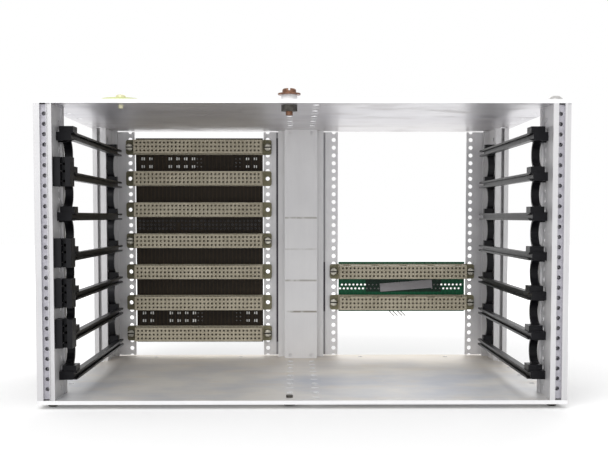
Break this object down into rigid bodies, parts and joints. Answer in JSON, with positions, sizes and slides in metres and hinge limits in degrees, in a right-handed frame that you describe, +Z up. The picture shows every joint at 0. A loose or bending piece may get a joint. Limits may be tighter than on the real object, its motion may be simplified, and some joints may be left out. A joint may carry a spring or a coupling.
{
  "type": "subrack card cage",
  "caption": "Open subrack cage lying on its side, with card guides, rear connectors and two backplane boards between two side plates.",
  "frame": {"origin": "centre of the footprint, on the table under the four lower screw heads", "axes": "+X across the two rows of guides, to the right seen from the open front; +Y from the open front towards the connectors; +Z up, from one side plate to the other"},
  "size_m": [0.2658, 0.18, 0.1606],
  "materials": {
    "plate_aluminium": "satin",
    "rail_aluminium": "satin anodised",
    "strip_aluminium": "satin",
    "threaded_steel": "dull zinc plated",
    "guide_plastic": "matt black",
    "coding_plastic": "matt black",
    "connector_plastic": "matt, aged",
    "backplane_dark": "dark laminate",
    "backplane_green": "green solder mask",
    "label_blank": "unprinted",
    "screw_steel": "zinc plated",
    "screw_dark": "darkened",
    "screw_bronze": "browned",
    "spacer_white": "white",
    "disc_pale": "pale yellow-green",
    "wire_tinned": "dull tinned"
  },
  "bodies": {
    "root": {"top_side_plate": "plate_aluminium", "bottom_side_plate": "plate_aluminium", "front_rail_left": "rail_aluminium", "front_rail_right": "rail_aluminium", "rear_rail_left": "rail_aluminium", "rear_rail_right": "rail_aluminium", "centre_rail": "rail_aluminium", "threaded_strip_left": "threaded_steel", "threaded_strip_right": "threaded_steel", "perforated_strip_1": "strip_aluminium", "perforated_strip_2": "strip_aluminium", "perforated_strip_3": "strip_aluminium", "perforated_strip_4": "strip_aluminium", "guide_left_1": "guide_plastic", "guide_left_2": "guide_plastic", "guide_left_3": "guide_plastic", "guide_left_4": "guide_plastic", "guide_left_5": "guide_plastic", "guide_left_6": "guide_plastic", "guide_left_7": "guide_plastic", "guide_right_1": "guide_plastic", "guide_right_2": "guide_plastic", "guide_right_3": "guide_plastic", "guide_right_4": "guide_plastic", "guide_right_5": "guide_plastic", "guide_right_6": "guide_plastic", "guide_right_7": "guide_plastic", "coding_block_2": "coding_plastic", "coding_block_4": "coding_plastic", "coding_block_5": "coding_plastic", "coding_block_6": "coding_plastic", "backplane_left": "backplane_dark", "backplane_right": "backplane_green", "blank_label": "label_blank", "connector_left_1": "connector_plastic", "connector_left_2": "connector_plastic", "connector_left_3": "connector_plastic", "connector_left_4": "connector_plastic", "connector_left_5": "connector_plastic", "connector_left_6": "connector_plastic", "connector_left_7": "connector_plastic", "connector_right_5": "connector_plastic", "connector_right_6": "connector_plastic", "connector_nuts": "screw_steel", "strip_screws": "screw_steel", "centre_rail_screws": "screw_steel", "top_dome_screws": "screw_steel", "top_flush_screw": "screw_steel", "connector_screws": "screw_dark", "foot_screws": "screw_dark", "earth_nut": "screw_dark", "spare_slot_screw": "screw_dark", "earth_screw": "screw_bronze", "earth_washer": "screw_steel", "earth_spacer": "spacer_white", "pale_disc": "disc_pale", "disc_screw": "screw_steel", "wire_leads": "wire_tinned"}
  },
  "joints": []
}
